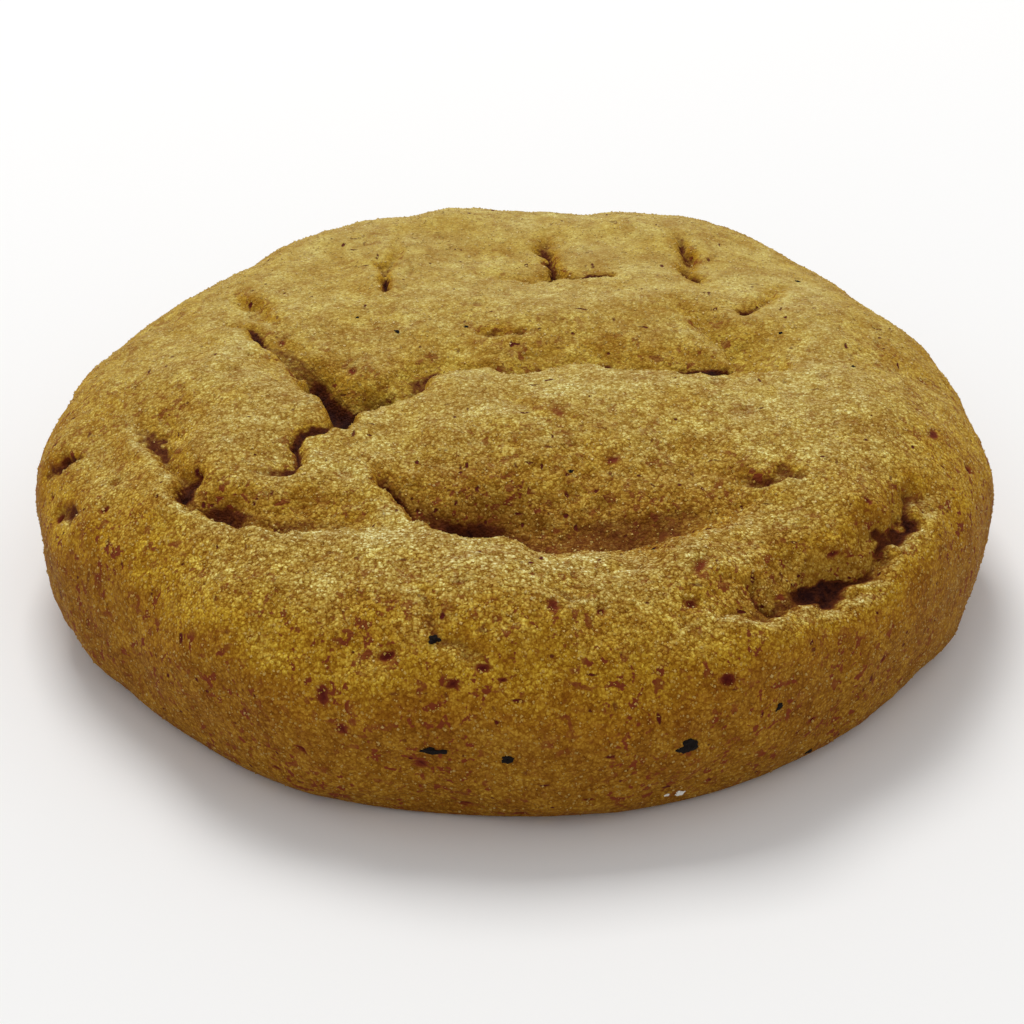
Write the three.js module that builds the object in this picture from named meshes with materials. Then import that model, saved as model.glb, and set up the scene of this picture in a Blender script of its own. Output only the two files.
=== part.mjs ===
// A thick, soft ginger molasses cookie, in millimetres, +Z up, standing on its flat baked base with
// the origin at the middle of that base. It is one solid piece of baked dough: a round puck with a
// full, rounded edge, whose top has slumped into lumps with deep creases between them.
import * as THREE from 'three';
import { mergeVertices } from 'three/addons/utils/BufferGeometryUtils.js';

// ---- driving dimensions ----
const RADIUS = 44.8;          // mean radius at the widest level of the edge
const WIDEST_HEIGHT = 9.8;    // height of that level above the base
const TOP_HEIGHT = 20.2;      // height of the top before the lumps are raised on it
const BASE_ROUNDING = 3.7;    // how far the edge tucks in under the widest level
const SHOULDER = 15.6;        // how far the upper edge rounds over before the top is flat
const DETAIL = 23;            // subdivisions of each side of the starting icosahedron
const BASE_MESH_SHARE = 0.15; // how densely the flat base is meshed, against the rest
const ARC_STEPS = 40;         // points along each rounded quarter of the section
const FLAT_STEPS = 60;        // points along its flat top, and along its base

// How the edge departs from a circle: [waves round the edge, height of the wave, angle of a crest].
const EDGE_WAVES = [
  [2, 1.08, 138], [3, 0.57, -153], [4, 0.29, -104], [5, 0.63, -91],
  [6, 0.64, -9], [7, 0.21, 79], [8, 0.25, 159],
];

// How the height of the rim differs round the edge, in the same way, where on the radius, and how wide.
const RIM_WAVES = [[1, 0.24, 110], [2, 0.39, -131], [3, 0.43, -21]];
const RIM_PLACE = 33;
const RIM_WIDTH = 9;

// Lumps of the top: centre x and y, half length, half width, turn in degrees, height.
const LUMPS = {
  middle: [9, -9, 27, 8, -2, 1.9],
  middleLeft: [-9, -13, 8, 8, 20, 0.9],
  left: [-26, -7, 8, 13, 8, 1.7],
  leftFront: [-20, -24, 6, 4, 30, 0.5],
  rearMiddle: [6, 8.5, 15, 6, 0, 1.7],
  rearLeft: [-14, 9, 10, 9, -20, 0.9],
  rearRight: [29, 7, 8, 10, 20, 0.8],
  right: [28, -23, 7, 5, 35, 1.2],
  frontRim: [-2, -37, 24, 4, 0, 0.8],
  frontLobe: [15, -33, 4.5, 3, 0, 0.7],
  hollowFrontRight: [20, -24, 6, 4, 10, -1],
  hollowFront: [8, -31, 4.5, 3, 0, -0.7],
  hollowLeftFront: [-14, -27, 7, 3, -8, -1.2],
  hollowRear: [-15, -5, 6.5, 4, -35, -2.6],
  hollowFarRight: [37, 4, 4, 8, 10, -0.6],
};

// Creases of the top. The dough stands steep and crisp on the near side of a path, which lies on its
// left (+1) or its right (-1), and falls gently to it on the other. near is how far the steep slope
// reaches, bulge is how full the gentle slope stays before it drops, lip is how far the near side rolls
// up, and the path is a row of [x, y, depth, reach of the gentle slope].
const CREASES = {
  valley: { nearSide: -1, near: 0.5, bulge: 1.8, lip: 0.4, path: [
    [-29, 9.5, 0, 1.5], [-26, 5.2, 1.3, 1.5], [-24.2, 2.4, 0.9, 1.8], [-22.6, 1.6, 1, 2],
    [-20.9, 0, 1.4, 2.2], [-19.8, -2.3, 2.4, 2.4], [-18.9, -5, 3.8, 3.2], [-17.9, -8, 4.8, 4],
    [-17, -10.2, 5.2, 4], [-16.3, -13, 3.6, 2.4], [-15.2, -10.3, 4.8, 4], [-14.3, -8.6, 3.8, 4],
    [-12.3, -7, 2.8, 4], [-11, -7.4, 2.2, 4], [-9.2, -5.6, 2.2, 4], [-7.8, -3.2, 2.8, 3.8],
    [-5.5, -2.3, 2.8, 3.6], [-2.5, -2.4, 2.8, 3.4], [0.3, -3, 2.4, 3.2], [2.5, -1.9, 2.4, 3.2],
    [5, -1.5, 2.6, 3.2], [7.4, -1.8, 2.8, 3.2], [9.5, -2.6, 2.8, 3.4], [12.2, -3.1, 3.6, 3.6],
    [15.5, -3.2, 4, 3.8], [18.2, -3, 3.6, 3.6], [20.4, -3, 2.6, 3.4], [22, -2.4, 1.2, 3],
    [25, 0, 0, 2]] },
  crackBelowTheValley: { nearSide: 1, near: 0.35, bulge: 2, lip: 0.1, path: [
    [-16.6, -13.6, 0.8, 0.7], [-17.4, -15, 0.9, 0.7], [-18.7, -15.6, 0.9, 0.8], [-19.3, -17.3, 0.9, 0.8],
    [-19.7, -19.4, 0.9, 0.8], [-20.1, -20.8, 0.8, 0.8], [-21.8, -21.2, 0.3, 0.7],
    [-22.4, -21.2, 0, 0.4]] },
  leftFront: { nearSide: -1, near: 0.45, bulge: 2, lip: 0.3, path: [
    [-36, -7.5, 0, 2], [-34, -10.5, 0.7, 1.6], [-32.3, -13.5, 1, 1.8], [-31, -17, 1.2, 1.8],
    [-30.3, -19.3, 1.3, 1.8], [-29, -21, 2, 1.8], [-27.9, -23, 1.5, 2.2], [-26.6, -24.8, 2, 2.8],
    [-25, -26, 2.1, 3], [-23.4, -27, 1.6, 3.2], [-21.3, -28, 1.6, 3.2], [-19.5, -28, 1.6, 3.2],
    [-17.3, -27.2, 1.2, 3.2], [-14.5, -27.6, 0.8, 3.2], [-11.5, -27.4, 0, 2]] },
  frontLeft: { nearSide: -1, near: 0.5, bulge: 2.4, lip: 0.3, path: [
    [-12.4, -19.4, 0, 3], [-11, -22.6, 1.6, 4.4], [-9.8, -24.6, 3, 5.6], [-8.2, -26.3, 4.4, 6.4],
    [-6.4, -27.4, 5, 7], [-4.6, -28.2, 5.4, 7.6], [-3, -28.8, 5.2, 7.8], [-1.2, -28.8, 4.4, 7.8],
    [1, -29, 3, 7.6], [2.6, -29.4, 1.4, 7], [4.4, -29.4, 0, 6]] },
  frontRight: { nearSide: -1, near: 3.6, bulge: 2, lip: 0, path: [
    [-1.2, -28.8, 0, 7], [1, -28.8, 1.4, 7], [3, -28.4, 2.2, 6.6], [5.4, -27.6, 2.6, 6],
    [7.4, -26.8, 2.8, 5.6], [9.2, -26.6, 2.8, 5.6], [11, -26.6, 2.8, 5.8], [13, -26.2, 2.7, 6],
    [15, -25.4, 2.4, 5.6], [17, -24.2, 2, 5], [19.4, -23, 1.2, 4.4], [21.5, -22, 0, 3]] },
  rightSplit: { nearSide: -1, near: 0.35, bulge: 2, lip: 0.2, path: [
    [16.8, -19, 0, 3], [19, -20.4, 0.6, 1.2], [20.4, -21, 0.8, 1], [21.7, -21.2, 1, 0.7],
    [22.6, -20.4, 0.7, 0.5], [23.6, -20.2, 0.7, 0.5], [24.8, -20.6, 0, 0.4]] },
  rightFront: { nearSide: -1, near: 0.5, bulge: 2.2, lip: 0.3, path: [
    [15.4, -38.4, 0, 2], [17, -37.4, 1, 2.8], [18.6, -36.8, 1.4, 3.2], [20.2, -36.2, 1.8, 3.4],
    [21.8, -35.4, 2.1, 3.6], [23.2, -34.4, 2.3, 3.8], [24.6, -33.1, 2.6, 4], [26.4, -31.8, 2.5, 4],
    [28.2, -30.6, 2.5, 3.8], [29.6, -28.8, 2.1, 2.8], [30.4, -27, 1.8, 2.2], [31.2, -25.8, 1.7, 1.8],
    [32.6, -24.8, 1.4, 1.6], [33.6, -23, 1.6, 1.5], [33.4, -21.2, 1.3, 1.5], [34.6, -19.6, 1, 1.5],
    [36.8, -18.4, 0, 1]] },
  rearRight: { nearSide: -1, near: 0.9, bulge: 1.3, lip: 0.2, path: [
    [13.5, 13, 0, 2], [16, 9, 1.2, 2.8], [19.2, 5, 1.8, 3.4], [21, 1, 2, 3.4], [21.6, -2, 0.8, 2]] },
  rearSplit: { nearSide: 1, near: 0.5, bulge: 1.5, lip: 0.1, path: [
    [3, 32, 0, 0.7], [2.6, 26, 0.9, 0.7], [3, 23.5, 1.4, 0.7], [3.8, 21.5, 1.5, 0.7], [4, 20, 2.4, 0.8],
    [3.4, 18.6, 0, 0.7]] },
  rearCross: { nearSide: -1, near: 0.6, bulge: 1.3, lip: 0.2, path: [
    [-6, 17.5, 0, 1.4], [-1, 18.6, 0.7, 1.4], [4, 18.3, 1, 1.4], [6, 18, 0.8, 1], [7.4, 18.5, 1.3, 0.8],
    [9, 18.6, 0, 0.8]] },
  rearRightSplit: { nearSide: 1, near: 0.5, bulge: 1.3, lip: 0.1, path: [
    [17, 31, 0, 0.9], [17.2, 26.5, 1.3, 0.9], [17.4, 23.5, 1, 0.9], [17.7, 21, 1.6, 0.9],
    [19, 16, 0, 0.9]] },
  farRight: { nearSide: 1, near: 0.6, bulge: 1.3, lip: 0.2, path: [
    [28, 20, 0, 1.2], [25.4, 15.5, 0.9, 1.2], [24, 12.5, 1, 1.2], [22.3, 9.8, 1.4, 1],
    [21.2, 11, 0, 0.8]] },
  rearLeftSplit: { nearSide: -1, near: 0.4, bulge: 1.5, lip: 0.1, path: [
    [-12.2, 30, 0, 0.6], [-12.6, 22, 0.7, 0.6], [-13.6, 18, 0.9, 0.6], [-13.3, 14.6, 1.6, 0.6],
    [-13.3, 13, 0, 0.5]] },
  leftCorner: { nearSide: 1, near: 0.6, bulge: 1.3, lip: 0.2, path: [
    [-29, 15.5, 0, 1.2], [-27, 13, 1, 1.2], [-25, 12, 0.9, 1.2], [-24, 9, 0.9, 1], [-23.6, 6, 0, 1]] },
  lipNotch: { nearSide: -1, near: 0.4, bulge: 1.5, lip: 0.2, path: [
    [-4, 4.6, 0, 0.8], [-2.6, 4.2, 0.8, 0.8], [-0.8, 4.6, 0.6, 0.8], [0.2, 4.8, 0.8, 0.8],
    [1.8, 5.4, 0, 0.8]] },
};
const LEAST_REACH = 1.3;      // slopes shorter than this are made this long, as the mesh has no finer edges
const ROLL_OVER = 2.2;        // where the lip beside a crease is highest, in reaches of the steep slope
const CREASE_STEPS = 6;       // straight pieces between two points of a crease's path
const BLEND_GAP = 0.25;       // how closely the depth and the reach at a place follow the nearest part of
const BLEND_POWER = 5;        // the path: the weight falls with this power of the distance, past this gap

// How steep the smooth form may lean (its normal's z) where the top's relief fades in, and where the
// swelling of the sides fades out towards the base.
const TOP_FADE = [0.15, 0.6];
const BASE_FADE = [-0.95, -0.3];

// Waves that make the dough uneven: [height of the unevenness, wavelength], and how far creases stray.
const SWELL = [0.32, 17];
const LUMPINESS = [0.14, 7];
const CREASE_STRAY = [0.45, 6];
const GOLDEN_ANGLE = 2.399963;
const WAVES = 9;

// An even mixture of plane waves in all directions, so it repeats nowhere over the cookie.
function unevenness(p, wavelength, seed) {
  let sum = 0;
  for (let i = 0; i < WAVES; i++) {
    const up = 1 - (2 * (i + 0.5)) / WAVES;
    const across = Math.sqrt(1 - up * up);
    const turn = i * GOLDEN_ANGLE + seed;
    const along = p.x * across * Math.cos(turn) + p.y * across * Math.sin(turn) + p.z * up;
    const own = wavelength * (0.7 + (0.6 * ((i * 4) % WAVES)) / WAVES);
    sum += Math.sin((2 * Math.PI * along) / own + seed * (i + 1));
  }
  return sum / Math.sqrt(WAVES);
}

// The sum of waves round the edge, at one angle.
function roundTheEdge(rows, angle) {
  return rows.reduce((sum, [waves, height, crest]) =>
    sum + height * Math.cos(waves * angle - THREE.MathUtils.degToRad(crest)), 0);
}

// The section from the middle of the top to the middle of the base, as points with outward normals.
function sectionPoints() {
  const points = [];
  const inner = RADIUS - SHOULDER;
  const rise = TOP_HEIGHT - WIDEST_HEIGHT;
  for (let i = 0; i < FLAT_STEPS; i++) {
    points.push({ r: (inner * i) / FLAT_STEPS, z: TOP_HEIGHT, nr: 0, nz: 1 });
  }
  const add = (reach, height, start, sign, i) => {
    const turn = (Math.PI / 2) * (i / ARC_STEPS);
    const along = sign > 0 ? Math.sin(turn) : Math.cos(turn);
    const up = sign > 0 ? Math.cos(turn) : -Math.sin(turn);
    const normal = new THREE.Vector2(along / reach, up / height).normalize();
    points.push({ r: start + reach * along, z: WIDEST_HEIGHT + height * up, nr: normal.x, nz: normal.y });
  };
  for (let i = 0; i < ARC_STEPS; i++) add(SHOULDER, rise, inner, 1, i);
  for (let i = 0; i <= ARC_STEPS; i++) add(BASE_ROUNDING, WIDEST_HEIGHT, RADIUS - BASE_ROUNDING, -1, i);
  const foot = RADIUS - BASE_ROUNDING;
  for (let i = 1; i <= FLAT_STEPS; i++) points.push({ r: foot * (1 - i / FLAT_STEPS), z: 0, nr: 0, nz: -1 });
  let area = 0;
  points.forEach((p, i) => {
    if (i) {
      const last = points[i - 1];
      const share = p.z === 0 && last.z === 0 ? BASE_MESH_SHARE : 1;
      area += share * Math.hypot(p.r - last.r, p.z - last.z) * (p.r + last.r);
    }
    p.area = area;
  });
  return points;
}

// The section's point that has the given share of the mesh between it and the middle of the top.
function onSection(section, share) {
  const wanted = share * section[section.length - 1].area;
  let i = 1;
  while (i < section.length - 1 && section[i].area < wanted) i++;
  const a = section[i - 1];
  const b = section[i];
  const t = (wanted - a.area) / Math.max(b.area - a.area, 1e-9);
  const mix = (key) => a[key] + (b[key] - a[key]) * t;
  return { r: mix('r'), z: mix('z'), nr: mix('nr'), nz: mix('nz') };
}

const creaseLines = Object.values(CREASES).map((crease) => {
  const curve = (third) => new THREE.CatmullRomCurve3(
    crease.path.map((point) => new THREE.Vector3(point[0], point[1], point[third])), false, 'catmullrom', 0.5)
    .getPoints(CREASE_STEPS * (crease.path.length - 1));
  const reach = curve(3);
  const line = curve(2).map((p, i) => ({ x: p.x, y: p.y, depth: p.z, reach: reach[i].z }));
  return { ...crease, line };
});

// How much one crease lowers the top at x, y. The nearest place on its line gives the distance and the
// side; the depth and the reach are those of the places around it, each by how near it is.
function creaseDrop(crease, x, y) {
  let best = Infinity;
  let side = 0;
  let depth = 0;
  let far = 0;
  let weights = 0;
  for (let i = 1; i < crease.line.length; i++) {
    const a = crease.line[i - 1];
    const b = crease.line[i];
    const dx = b.x - a.x;
    const dy = b.y - a.y;
    const t = THREE.MathUtils.clamp(((x - a.x) * dx + (y - a.y) * dy) / (dx * dx + dy * dy), 0, 1);
    const gap = Math.hypot(x - a.x - dx * t, y - a.y - dy * t);
    if (gap < best) {
      best = gap;
      side = Math.sign(dx * (y - a.y) - dy * (x - a.x)) * crease.nearSide;
    }
    const weight = Math.hypot(dx, dy) / (gap + BLEND_GAP) ** BLEND_POWER;
    weights += weight;
    depth += ((a.depth + (b.depth - a.depth) * t - depth) * weight) / weights;
    far += ((a.reach + (b.reach - a.reach) * t - far) * weight) / weights;
  }
  depth = Math.max(depth, 0);
  const near = Math.max(crease.near, LEAST_REACH);
  if (side <= 0) return depth * Math.exp(-((best / Math.max(far, LEAST_REACH)) ** crease.bulge));
  const roll = best / (ROLL_OVER * near);
  return depth * Math.exp(-best / near) - crease.lip * Math.min(depth, 1) * roll * Math.exp(1 - roll);
}

function lumpRise([cx, cy, halfLength, halfWidth, turn, height], x, y) {
  const a = THREE.MathUtils.degToRad(turn);
  const u = ((x - cx) * Math.cos(a) + (y - cy) * Math.sin(a)) / halfLength;
  const v = ((y - cy) * Math.cos(a) - (x - cx) * Math.sin(a)) / halfWidth;
  return height * Math.exp(-(u * u + v * v));
}

// How far the dough stands out from the smooth form at a point, along the smooth form's normal.
function relief(p, nz) {
  const swell = SWELL[0] * unevenness(p, SWELL[1], 1.3) + LUMPINESS[0] * unevenness(p, LUMPINESS[1], 4.1);
  const x = p.x + CREASE_STRAY[0] * unevenness(p, CREASE_STRAY[1], 2.2);
  const y = p.y + CREASE_STRAY[0] * unevenness(p, CREASE_STRAY[1], 7.7);
  const lumps = Object.values(LUMPS).reduce((sum, lump) => sum + lumpRise(lump, x, y), 0);
  const creases = creaseLines.reduce((sum, crease) => sum + creaseDrop(crease, x, y), 0);
  const onTop = THREE.MathUtils.smoothstep(nz, ...TOP_FADE);
  const offBase = THREE.MathUtils.smoothstep(nz, ...BASE_FADE);
  return offBase * swell + onTop * (lumps - creases);
}

function cookieGeometry() {
  const section = sectionPoints();
  const ball = new THREE.IcosahedronGeometry(1, DETAIL);
  ball.deleteAttribute('normal');
  ball.deleteAttribute('uv');
  const geometry = mergeVertices(ball, 1e-5);
  const vertices = geometry.getAttribute('position');
  const p = new THREE.Vector3();
  for (let i = 0; i < vertices.count; i++) {
    p.fromBufferAttribute(vertices, i);
    const angle = Math.atan2(p.y, p.x);
    const at = onSection(section, (1 - p.z) / 2);
    const stretch = 1 + roundTheEdge(EDGE_WAVES, angle) / RADIUS;
    const taller = roundTheEdge(RIM_WAVES, angle) * Math.exp(-(((at.r - RIM_PLACE) / RIM_WIDTH) ** 2));
    p.set(at.r * stretch * Math.cos(angle), at.r * stretch * Math.sin(angle), at.z);
    const out = at.z > 0 ? relief(p, at.nz) : 0;
    p.x += out * at.nr * Math.cos(angle);
    p.y += out * at.nr * Math.sin(angle);
    p.z = Math.max(p.z + out * at.nz + taller * Math.max(at.nz, 0), 0);
    vertices.setXYZ(i, p.x, p.y, p.z);
  }
  geometry.computeBoundingBox();
  const middle = geometry.boundingBox.getCenter(new THREE.Vector3());
  geometry.translate(-middle.x, -middle.y, 0);
  geometry.computeVertexNormals();
  return geometry;
}

const crust = new THREE.MeshStandardMaterial({ color: 0xa88a4a, roughness: 0.9, metalness: 0 });
const cookie = new THREE.Mesh(cookieGeometry(), crust);
cookie.name = 'cookie';

const part = new THREE.Group();
part.add(cookie);
export default part;
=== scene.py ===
"""A thick, soft ginger molasses cookie on a pale table, built in Blender 4.5 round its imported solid."""

import math

import bpy
import numpy as np
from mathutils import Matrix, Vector


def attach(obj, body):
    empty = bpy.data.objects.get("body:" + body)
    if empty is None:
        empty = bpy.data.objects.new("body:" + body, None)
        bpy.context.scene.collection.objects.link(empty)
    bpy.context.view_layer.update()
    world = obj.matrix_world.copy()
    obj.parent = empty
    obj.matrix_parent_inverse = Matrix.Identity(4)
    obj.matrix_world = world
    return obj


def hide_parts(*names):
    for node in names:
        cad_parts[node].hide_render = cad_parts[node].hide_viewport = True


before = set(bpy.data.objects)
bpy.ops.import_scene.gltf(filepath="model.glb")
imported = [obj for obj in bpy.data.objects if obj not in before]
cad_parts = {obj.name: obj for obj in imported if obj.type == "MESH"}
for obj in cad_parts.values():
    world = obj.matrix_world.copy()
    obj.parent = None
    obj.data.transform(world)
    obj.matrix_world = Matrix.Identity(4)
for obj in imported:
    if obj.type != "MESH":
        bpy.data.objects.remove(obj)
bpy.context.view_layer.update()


# ---------------------------------------------------------------------------------------------
# The table and the light. A pale matt table top, lit evenly from all round as in a light tent, with
# a wide soft lamp above and behind the cookie, so that slopes facing the viewer are the darker ones.
# The camera stands a hand's length away and looks down at 31 degrees. Lengths are in millimetres.
MM = 0.001
CAMERA_TILT = 31.0
CAMERA_DISTANCE = 230.0
CAMERA_AIM = (-0.376, -9.186, 10.0)
CAMERA_LENS = 88.0
CAMERA_SENSOR = 36.0
TENT_WHITE = (1.0, 1.0, 1.0, 1.0)
TENT_STRENGTH = 0.6
LAMP_PLACE = (-160, 620, 1050)
LAMP_SIDE = 520
LAMP_WATTS = 8.0
LAMP_WHITE = (1.0, 0.99, 0.97)
TABLE_SIDE = 6000.0
TABLE_WHITE = (0.92, 0.92, 0.92, 1.0)

camera_data = bpy.data.cameras.new("camera")
camera_data.lens = CAMERA_LENS
camera_data.sensor_width = CAMERA_SENSOR
camera_data.clip_start = 0.01
camera_data.clip_end = 20.0
camera = bpy.data.objects.new("camera", camera_data)
bpy.context.scene.collection.objects.link(camera)
tilt = math.radians(CAMERA_TILT)
away = Vector((0.0, -math.cos(tilt), math.sin(tilt)))
camera.location = (Vector(CAMERA_AIM) + away * CAMERA_DISTANCE) * MM
camera.rotation_euler = (-away).to_track_quat("-Z", "Y").to_euler()
bpy.context.scene.camera = camera

bpy.context.scene.view_settings.view_transform = "Standard"

world = bpy.data.worlds.new("light tent")
world.use_nodes = True
world.node_tree.nodes["Background"].inputs["Color"].default_value = TENT_WHITE
world.node_tree.nodes["Background"].inputs["Strength"].default_value = TENT_STRENGTH
bpy.context.scene.world = world

lamp_data = bpy.data.lights.new("overhead soft box", "AREA")
lamp_data.shape = "SQUARE"
lamp_data.size = LAMP_SIDE * MM
lamp_data.energy = LAMP_WATTS
lamp_data.color = LAMP_WHITE
lamp = bpy.data.objects.new("overhead soft box", lamp_data)
bpy.context.scene.collection.objects.link(lamp)
lamp.location = Vector(LAMP_PLACE) * MM
lamp.rotation_euler = (-Vector(LAMP_PLACE)).to_track_quat("-Z", "Y").to_euler()

table_mesh = bpy.data.meshes.new("table")
half = TABLE_SIDE * MM / 2
table_corners = [(-half, -half, 0), (half, -half, 0), (half, half, 0), (-half, half, 0)]
table_mesh.from_pydata(table_corners, [], [(0, 1, 2, 3)])
table = bpy.data.objects.new("table", table_mesh)
bpy.context.scene.collection.objects.link(table)
table_paint = bpy.data.materials.new("matt white table")
table_paint.use_nodes = True
table_shader = table_paint.node_tree.nodes["Principled BSDF"]
table_shader.inputs["Base Color"].default_value = TABLE_WHITE
table_shader.inputs["Roughness"].default_value = 0.9
table_mesh.materials.append(table_paint)


# ---------------------------------------------------------------------------------------------
# The baked dough. One ball of soft spiced dough, rolled in fine sugar and baked on a tray until it
# slumped: a flat base, a full rounded edge, and a top that has sunk into lumps with deep creases.
RADIUS = 44.8           # mean radius at the widest level of the edge
WIDEST_HEIGHT = 9.8     # height of that level above the table
TOP_HEIGHT = 20.2       # height of the top before the lumps are raised on it
BASE_ROUNDING = 3.7     # how far the edge tucks in under the widest level
SHOULDER = 15.6         # how far the upper edge rounds over before the top is flat
ARC_STEPS = 40          # points along each rounded quarter of the section
FLAT_STEPS = 60         # points along its flat top, and along its base
DOUGH_DETAIL = 98       # parts that each side of the starting icosahedron is cut into
BASE_MESH_SHARE = 0.15  # how densely the flat base is meshed, against the rest

# How the edge departs from a circle: waves round the edge, height of the wave, angle of a crest.
EDGE_WAVES = ((2, 1.08, 138), (3, 0.57, -153), (4, 0.29, -104), (5, 0.63, -91),
              (6, 0.64, -9), (7, 0.21, 79), (8, 0.25, 159))

# How the height of the rim differs round the edge, in the same way, where on the radius, and how wide.
RIM_WAVES = ((1, 0.24, 110), (2, 0.39, -131), (3, 0.43, -21))
RIM_PLACE = 33.0
RIM_WIDTH = 9.0

# Lumps of the top: centre x and y, half length, half width, turn in degrees, height.
LUMPS = {
    "middle": (9, -9, 27, 8, -2, 1.9),
    "middle left": (-9, -13, 8, 8, 20, 0.9),
    "left": (-26, -7, 8, 13, 8, 1.7),
    "left front": (-20, -24, 6, 4, 30, 0.5),
    "rear middle": (6, 8.5, 15, 6, 0, 1.7),
    "rear left": (-14, 9, 10, 9, -20, 0.9),
    "rear right": (29, 7, 8, 10, 20, 0.8),
    "right": (28, -23, 7, 5, 35, 1.2),
    "front rim": (-2, -37, 24, 4.0, 0, 0.8),
    "hollow front right": (20, -24, 6, 4, 10, -1.0),
    "hollow front": (8, -31, 4.5, 3, 0, -0.7),
    "front lobe": (15, -33, 4.5, 3, 0, 0.7),
    "hollow left front": (-14, -27, 7, 3, -8, -1.2),
    "hollow rear": (-15, -5, 6.5, 4, -35, -2.6),
    "hollow far right": (37, 4, 4, 8, 10, -0.6),
}

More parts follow.
